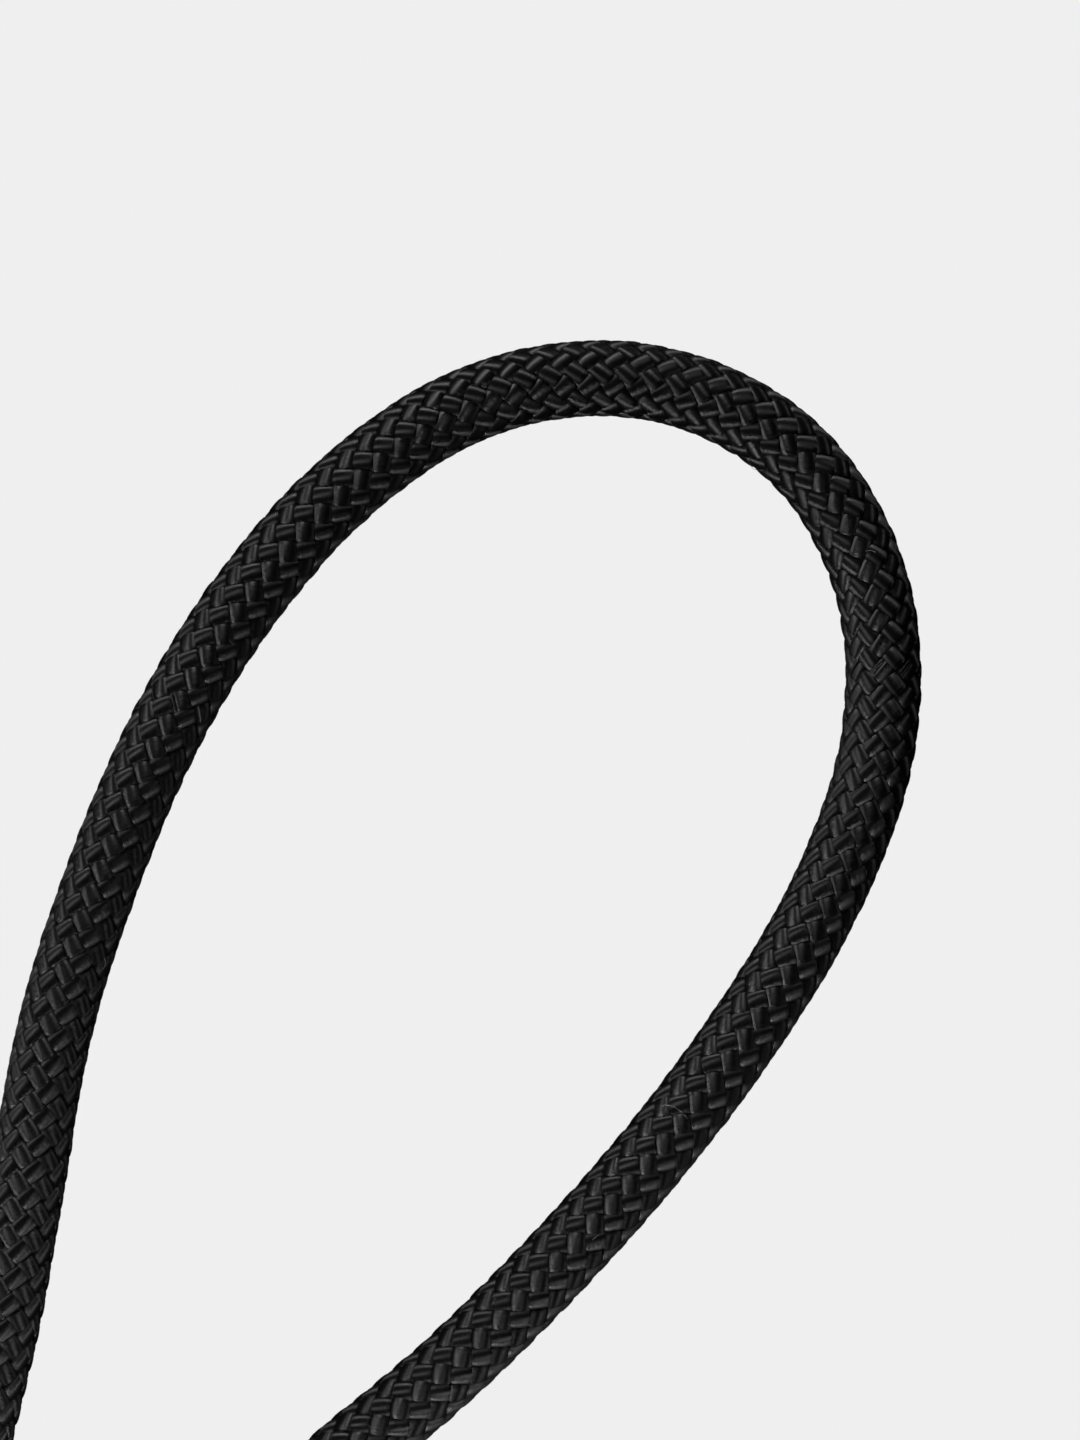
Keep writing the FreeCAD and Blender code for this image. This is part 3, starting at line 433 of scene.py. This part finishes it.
def tie_material():
    """Black woven webbing with a napped, slightly uneven face."""
    paint = Paint("hook_and_loop", (0.007, 0.007, 0.0075), 0.88, Sheen_Weight=0.03, Sheen_Roughness=0.5)
    scale = (WAVE_PERIOD / TIE_RIB, WAVE_PERIOD * 2 * TIE_WIDTH / TIE_CORD, 1.0)
    strap = paint.node("UVMap", {"uv_map": "strand"}).outputs["UV"]
    place = paint.node("Mapping", Vector=strap, Scale=scale).outputs["Vector"]
    weave = paint.node("Math", {"operation": "MULTIPLY"})
    for factor, direction in zip(weave.inputs, ("X", "Y")):
        bands = {"bands_direction": direction}
        ribs = paint.node("TexWave", bands, Vector=place, Scale=1.0, Distortion=1.2, Detail=1.0)
        paint.tree.links.new(ribs.outputs["Fac"], factor)
    weave = weave.outputs["Value"]
    fuzz_place = paint.place((TIE_FUZZ_SCALE, TIE_FUZZ_SCALE, TIE_FUZZ_SCALE))
    fuzz = paint.noise(fuzz_place, 1.0, 2.0, 0.7)
    rough = paint.bump(fuzz, 0.8, 0.00006)
    paint.set(
        paint.shader,
        Base_Color=paint.blend(paint.spread(weave, 0.0, 1.0, 0.0, 0.8), TIE_DARK, TIE_LIGHT),
        Roughness=paint.spread(fuzz, 0.8, 0.96),
        Normal=paint.bump(weave, 1.0, 0.00025, rough),
    )
    return paint.material


BROAD_PART = 0.04           # the broad unevenness's scale as a share of the grain's


def finish(name, dark, light, roughness, grain, depth, stretch=(1.0, 1.0, 1.0), metallic=0.0):
    """An uneven colour and gloss with a fine grain, grain metres across and stretched by axis."""
    middle = tuple((a + b) / 2 for a, b in zip(dark, light))
    paint = Paint(name, middle, sum(roughness) / 2, metallic)
    fine_place = paint.place(tuple(1 / (grain * factor) for factor in stretch))
    fine = paint.noise(fine_place, 1.0, 3.0, 0.6)
    broad_place = paint.place(tuple(BROAD_PART / (grain * factor) for factor in stretch))
    broad = paint.noise(broad_place, 1.0, 2.0)
    both = paint.node("Math", {"operation": "MULTIPLY"})
    paint.tree.links.new(fine, both.inputs[0])
    paint.tree.links.new(broad, both.inputs[1])
    paint.set(
        paint.shader,
        Base_Color=paint.blend(paint.spread(both.outputs["Value"], 0.0, 1.0, 0.1, 0.42), dark, light),
        Roughness=paint.spread(broad, *roughness),
        Normal=paint.bump(fine, 0.5, depth),
    )
    return paint.material


METAL = {"metallic": 1.0}
DRAWN_METAL = {"metallic": 1.0, "stretch": (1.0, 14.0, 1.0)}    # drawn along the plug
ANODISED = {"metallic": 0.85}
CORD_WEAVE = {"stretch": (1, 3, 1)}
# Darkest and lightest colour, range of roughness, size and depth of the grain, and any more, by slot.
FINISHES = {
    "plated_steel": ((0.58, 0.57, 0.55), (0.66, 0.65, 0.62), (0.24, 0.3), 0.00006, 0.0000008, DRAWN_METAL),
    "tinned_steel": ((0.42, 0.42, 0.41), (0.62, 0.62, 0.60), (0.34, 0.52), 0.00025, 0.000008, METAL),
    "spring_steel": ((0.42, 0.42, 0.43), (0.58, 0.58, 0.59), (0.22, 0.34), 0.00005, 0.000002, DRAWN_METAL),
    "gold_contact": ((0.72, 0.47, 0.16), (0.92, 0.68, 0.30), (0.18, 0.32), 0.00008, 0.000002, DRAWN_METAL),
    "solder": ((0.42, 0.42, 0.42), (0.68, 0.68, 0.67), (0.22, 0.4), 0.0003, 0.00002, METAL),
    "anodised_housing": (
        (0.043, 0.044, 0.047), (0.052, 0.053, 0.057), (0.36, 0.41), 0.00007, 0.000006, ANODISED
    ),
    "soft_boot": ((0.010, 0.010, 0.011), (0.015, 0.015, 0.016), (0.54, 0.62), 0.0001, 0.000008, {}),
    "moulded_insert": ((0.014, 0.014, 0.015), (0.024, 0.024, 0.025), (0.36, 0.5), 0.00016, 0.000006, {}),
    "insulator": ((0.012, 0.012, 0.013), (0.03, 0.03, 0.031), (0.4, 0.55), 0.00009, 0.000005, {}),
    "wire_red": ((0.40, 0.010, 0.008), (0.60, 0.020, 0.015), (0.32, 0.42), 0.0003, 0.000008, {}),
    "wire_white": ((0.58, 0.58, 0.56), (0.76, 0.76, 0.74), (0.32, 0.42), 0.0003, 0.000008, {}),
    "wire_green": ((0.006, 0.17, 0.03), (0.012, 0.30, 0.06), (0.32, 0.42), 0.0003, 0.000008, {}),
    "wire_black": ((0.009, 0.009, 0.009), (0.02, 0.02, 0.02), (0.32, 0.42), 0.0003, 0.000008, {}),
    "board": ((0.004, 0.055, 0.02), (0.008, 0.11, 0.045), (0.24, 0.36), 0.00014, 0.000006, {}),
    "resistor": ((0.01, 0.01, 0.011), (0.035, 0.035, 0.037), (0.3, 0.5), 0.00008, 0.000004, {}),
    "nylon_cord_end": (
        (0.004, 0.004, 0.0045), (0.016, 0.016, 0.017), (0.5, 0.68), 0.00016, 0.00006, CORD_WEAVE
    ),
}


def cad_materials():
    """A finish for each of the record's material slots that the CAD solids keep."""
    materials = {}
    for name, (*look, more) in FINISHES.items():
        materials[name] = finish(name, *look, **more)
    # The cord ends inside the plugs have no strand UVs, so they have a finish of their own.
    materials["braided_nylon"] = materials.pop("nylon_cord_end")
    return materials


def dress_cad_nodes():
    materials = cad_materials()
    for part in frame["record"]["subparts"]:
        if part["material_slot"] in materials:
            node = frame["nodes"][part["node"]]
            for material_slot in node.material_slots:
                material_slot.material = materials[part["material_slot"]]


# ---- The cord's pieces ----
FINE_START = 0.048          # the stretch of the loop that is modelled most finely
FINE_END = 0.206
FINE_STEPS, FINE_AROUND = 12, 12        # rings for each float, and points round a strand
PLAIN_STEPS, PLAIN_AROUND = 8, 8
FACES_PER_PIECE = 190_000   # most triangles in one piece of the braid
CORE_STEP = 0.0006          # along the core, from ring to ring
CORE_AROUND = 20


def braid_pieces(line, material):
    pieces = []
    stretches = [
        (0.0, FINE_START, PLAIN_STEPS, PLAIN_AROUND),
        (FINE_START, FINE_END, FINE_STEPS, FINE_AROUND),
        (FINE_END, line.length, PLAIN_STEPS, PLAIN_AROUND),
    ]
    for start, end, steps, around in stretches:
        faces = (end - start) / FLOAT_LENGTH * steps * 2 * STRANDS_EACH_WAY * around * 2
        parts = math.ceil(faces / FACES_PER_PIECE)
        edges = np.linspace(start, end, parts + 1)
        for first, last in zip(edges[:-1], edges[1:]):
            rings, uvs = braid_rings(line, first, last, steps, around)
            pieces.append(add_piece(f"cord_braid_{len(pieces) + 1:02d}", rings, material, uvs))
    return pieces


# ---- Stray fibres ----
FIBRES = 70
FIBRE_RADIUS = 0.000011
FIBRE_REACH = (0.0005, 0.0016)      # shortest and longest span
FIBRE_STEPS, FIBRE_AROUND = 14, 6   # rings along it, and points round it
FIBRE_SEED = 31
FIBRE_MARGIN = 0.01                 # of cord without them at each end
FIBRE_ANGLE = 1.4                   # furthest from the cord's top, in radians
FIBRE_BEND = 0.35                   # most bend sideways, as a share of the span
FIBRE_RISE = (0.12, 0.3)            # lowest and highest arch, as a share of the span
FIBRE_ROOT = 0.00015                # how deep in the braid it starts
# Those that catch the light in view: distance along the cord, angle round it, heading and span.
FIBRES_IN_VIEW = [
    (0.0998, 0.25, 0.4, 0.0009),
    (0.1475, -0.15, 2.2, 0.0010),
    (0.1795, 0.35, 1.3, 0.0017),
    (0.1870, -0.3, 0.2, 0.0008),
    (0.1930, 0.5, 2.6, 0.0006),
]


def make_fibres(line):
    """Loose filaments that stand out of the braid in small arches."""
    chance = np.random.default_rng(FIBRE_SEED)
    distance = chance.uniform(FIBRE_MARGIN, line.length - FIBRE_MARGIN, FIBRES)
    angle = chance.uniform(-FIBRE_ANGLE, FIBRE_ANGLE, FIBRES)
    heading = chance.uniform(0, math.pi, FIBRES)
    span = chance.uniform(*FIBRE_REACH, FIBRES)
    scattered = (distance, angle, heading, span)
    in_view = np.array(FIBRES_IN_VIEW).T
    distance, angle, heading, span = [np.concatenate(pair) for pair in zip(in_view, scattered)]
    place, tangent, normal, side = line.at(distance)
    outward = np.cos(angle)[:, None] * normal + np.sin(angle)[:, None] * side
    round_cord = np.cross(tangent, outward)
    ahead = np.cos(heading)[:, None] * tangent + np.sin(heading)[:, None] * round_cord
    aside = np.cross(outward, ahead)
    part = np.linspace(0, 1, FIBRE_STEPS)[:, None]
    arch = 4 * part * (1 - part)
    bend = chance.uniform(-FIBRE_BEND, FIBRE_BEND, len(span))
    rise = chance.uniform(*FIBRE_RISE, len(span))
    middle = (
        (place + outward * (CORD_RADIUS - FIBRE_ROOT))[:, None]
        + ahead[:, None] * ((part - 0.5) * span[:, None, None])
        + outward[:, None] * (arch * (rise * span)[:, None, None])
        + aside[:, None] * (arch * (bend * span)[:, None, None])
    )
    heading = unit(np.gradient(middle, axis=1))
    # The heading always leans ahead, so it never lies along this direction, which is square to that.
    across = unit(np.cross(heading, aside[:, None] + 0.3 * outward[:, None]))
    up = np.cross(heading, across)
    round_angle = 2 * math.pi * np.arange(FIBRE_AROUND) / FIBRE_AROUND
    ring = across[:, :, None] * np.cos(round_angle)[:, None] + up[:, :, None] * np.sin(round_angle)[:, None]
    fibres = add_piece("stray_fibres", middle[:, :, None] + FIBRE_RADIUS * ring, fibre_material())
    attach(fibres, "root")
    return fibres


# ---- The tie ----
TIE_WIDTH = 0.010
TIE_THICKNESS = 0.0008
TIE_STEPS = 10
TIE_AROUND = 40
TIE_SQUARENESS = 0.35       # 1 makes the strap's section an ellipse, less makes it squarer
TIE_EDGE = 0.43             # where the woven edge begins, as a share of the width from the middle
TIE_EDGE_THICKNESS = 0.72   # of the edge, as a share of the strap's
TIE_END_THICKNESS = 0.55    # of its two ends
TIE_END_WIDTH = 0.955
# The strap's middle line in section: distance from the coil's axis, and height. It starts under its own end.
TIE_ROUTE = [
    (0.0242, 0.0094),
    (0.0205, 0.00945),
    (0.0155, 0.0094),
    (0.0129, 0.0094),
    (0.0129, 0.0070),
    (0.0129, 0.0028),
    (0.0129, 0.0004),
    (0.0153, 0.0004),
    (0.0205, 0.0004),
    (0.0262, 0.0004),
    (0.0286, 0.0004),
    (0.0286, 0.0028),
    (0.0286, 0.0066),
    (0.0286, 0.0092),
    (0.0264, 0.0097),
    (0.0247, 0.0102),
    (0.0205, 0.0102),
    (0.0163, 0.0102),
]


def make_tie():
    """A hook-and-loop strap round the coil's turns, its end pressed down on its own start."""
    middle = spline_points([(radius, 0.0, z) for radius, z in TIE_ROUTE], TIE_STEPS)
    tangent = unit(np.gradient(middle, axis=0))
    up = np.stack([-tangent[:, 2], tangent[:, 1], tangent[:, 0]], axis=-1)
    round_angle = 2 * math.pi * np.arange(TIE_AROUND) / TIE_AROUND
    cosine, sine = np.cos(round_angle), np.sin(round_angle)
    sideways = np.sign(cosine) * np.abs(cosine) ** TIE_SQUARENESS * TIE_WIDTH / 2
    height = np.sign(sine) * np.abs(sine) ** TIE_SQUARENESS * TIE_THICKNESS / 2
    # The woven edge is a little thinner than the pile between.
    height = height * np.where(np.abs(sideways) > TIE_EDGE * TIE_WIDTH, TIE_EDGE_THICKNESS, 1.0)
    thickness_share = np.ones(len(middle))
    thickness_share[[0, -1]] = TIE_END_THICKNESS
    width_share = np.ones(len(middle))
    width_share[[0, -1]] = TIE_END_WIDTH
    section = middle[:, None] + up[:, None] * (height * thickness_share[:, None])[..., None]
    radius = section[..., 0]
    turn = TIE_DIRECTION + sideways * width_share[:, None] / radius
    x = COIL_CENTRE[0] + radius * np.cos(turn)
    y = COIL_CENTRE[1] + radius * np.sin(turn)
    along = np.concatenate([[0.0], np.cumsum(np.linalg.norm(np.diff(middle, axis=0), axis=1))])
    uvs = np.empty(section.shape[:2] + (2,))
    uvs[..., 0] = along[:, None]
    # Evenly across the outer face, with both its edges, then evenly back across the inner one.
    spot = sideways / TIE_WIDTH / 2
    uvs[..., 1] = np.where(sine >= -1e-9, 0.25 - spot, 0.75 + spot)[None]
    rings = np.stack([x, y, section[..., 2]], axis=-1)
    tie = add_piece("cable_strap", rings[None], tie_material(), uvs[None])
    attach(tie, "root")
    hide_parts("cable_tie")
    return tie


def make_cord():
    line = Line(spline_points(LOOP_ROUTE + coil_points() + TAIL_ROUTE, CURVE_STEPS))
    material = braid_material()
    path, rings = tube_rings(line, CORE_RADIUS, CORE_STEP, CORE_AROUND)
    core = add_piece("cord_core", rings, material)
    pieces = braid_pieces(line, material)
    for piece in [core] + pieces:
        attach(piece, "root")
    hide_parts("cable_loop", "cable_coil", "cable_tail")
    pieces + [make_fibres(line), make_tie()]


# ---- Floor, light and camera ----
FLOOR_TONE = 0.863          # the plain pale ground
BACKDROP_SIDES = 48
# Radius and height of the ground's edge, and of the backdrop's rings above it.
BACKDROP_RINGS = [(7.0, 0.0), (7.8, 0.4), (8.0, 2.0), (7.0, 5.0), (4.0, 7.5), (1.0, 8.0)]
WORLD_STRENGTH = 0.004      # faint light from all round
# Lamps round the middle of the view: name, azimuth and elevation in degrees, and power in watts.
LAMPS = [
    ("left_side", 163.0, 33.0, 0.75),
    ("top", 104.0, 13.0, 1.15),
    ("right_side", 22.0, 12.0, 0.22),
]
# Lamps whose narrow beams reach the plugs and not the loop: name, place, size and power.
PLUG_LAMPS = [
    ("plugs_above", (0.02, -0.08, 0.15), 0.16, 0.03),
    ("plugs_front", (-0.10, -0.18, 0.09), 0.12, 0.08),
    ("plugs_right", (0.20, -0.08, 0.08), 0.12, 0.08),
]
PLUG_CENTRE = (0.010, -0.012, 0.004)
PLUG_LAMP_SPREAD = 40.0     # width of their beams, in degrees
LAMP_DISTANCE = 0.5         # from the middle of the view to each of the other lamps
LAMP_SIZE = 0.1
VIEW_CENTRE = (0.03566, 0.12045, 0.002)     # the camera looks straight down at it
VIEW_DISTANCE = 0.3129
LENS = 150.0                # focal length in millimetres
NEAR_CLIP = 0.01


def make_floor():
    """The ground and a backdrop of the same tone all round it, so that no view meets a horizon."""
    turn = 2 * math.pi * np.arange(BACKDROP_SIDES) / BACKDROP_SIDES
    rings = []
    for radius, height in BACKDROP_RINGS:
        level = np.full(BACKDROP_SIDES, height)
        rings.append(np.stack([radius * np.cos(turn), radius * np.sin(turn), level], axis=-1))
    rings = np.array(rings)
    material = bpy.data.materials.new("floor")
    material.use_nodes = True
    nodes = material.node_tree.nodes
    nodes.clear()
    glow = nodes.new("ShaderNodeEmission")
    glow.inputs["Color"].default_value = (FLOOR_TONE, FLOOR_TONE, FLOOR_TONE, 1.0)
    output = nodes.new("ShaderNodeOutputMaterial")
    material.node_tree.links.new(glow.outputs["Emission"], output.inputs["Surface"])
    floor = add_piece("floor", rings[None], material)
    floor.visible_diffuse = False
    floor.visible_glossy = False
    floor.visible_shadow = False


def make_lamp(name, place, target, size, watts, spread=180.0):
    """A square lamp that faces its target, with a beam this many degrees wide."""
    lamp = bpy.data.lights.new(name, "AREA")
    lamp.spread = math.radians(spread)
    lamp.shape = "RECTANGLE"
    lamp.size = size
    lamp.size_y = size
    lamp.energy = watts
    holder = bpy.data.objects.new(name, lamp)
    holder.location = place
    holder.rotation_euler = (Vector(target) - Vector(place)).to_track_quat("-Z", "Y").to_euler()
    # A lamp itself shows in no view.
    holder.visible_camera = False
    bpy.context.collection.objects.link(holder)


def make_light():
    world = bpy.data.worlds.new("world")
    bpy.context.scene.world = world
    world.use_nodes = True
    background = world.node_tree.nodes["Background"]
    background.inputs["Color"].default_value = (1, 1, 1, 1)
    background.inputs["Strength"].default_value = WORLD_STRENGTH
    for name, azimuth, elevation, watts in LAMPS:
        across = LAMP_DISTANCE * math.cos(math.radians(elevation))
        place = (
            VIEW_CENTRE[0] + across * math.cos(math.radians(azimuth)),
            VIEW_CENTRE[1] + across * math.sin(math.radians(azimuth)),
            VIEW_CENTRE[2] + LAMP_DISTANCE * math.sin(math.radians(elevation)),
        )
        make_lamp(name, place, VIEW_CENTRE, LAMP_SIZE, watts)
    for name, place, size, watts in PLUG_LAMPS:
        make_lamp(name, place, PLUG_CENTRE, size, watts, PLUG_LAMP_SPREAD)


def make_camera():
    camera = bpy.data.cameras.new("camera")
    camera.lens = LENS
    camera.clip_start = NEAR_CLIP
    holder = bpy.data.objects.new("camera", camera)
    holder.location = (VIEW_CENTRE[0], VIEW_CENTRE[1], VIEW_CENTRE[2] + VIEW_DISTANCE)
    bpy.context.collection.objects.link(holder)
    scene = bpy.context.scene
    scene.camera = holder
    scene.view_settings.view_transform = "Standard"
    scene.view_settings.look = "None"


make_cord()
dress_cad_nodes()
make_floor()
make_light()
make_camera()

bpy.context.view_layer.update()
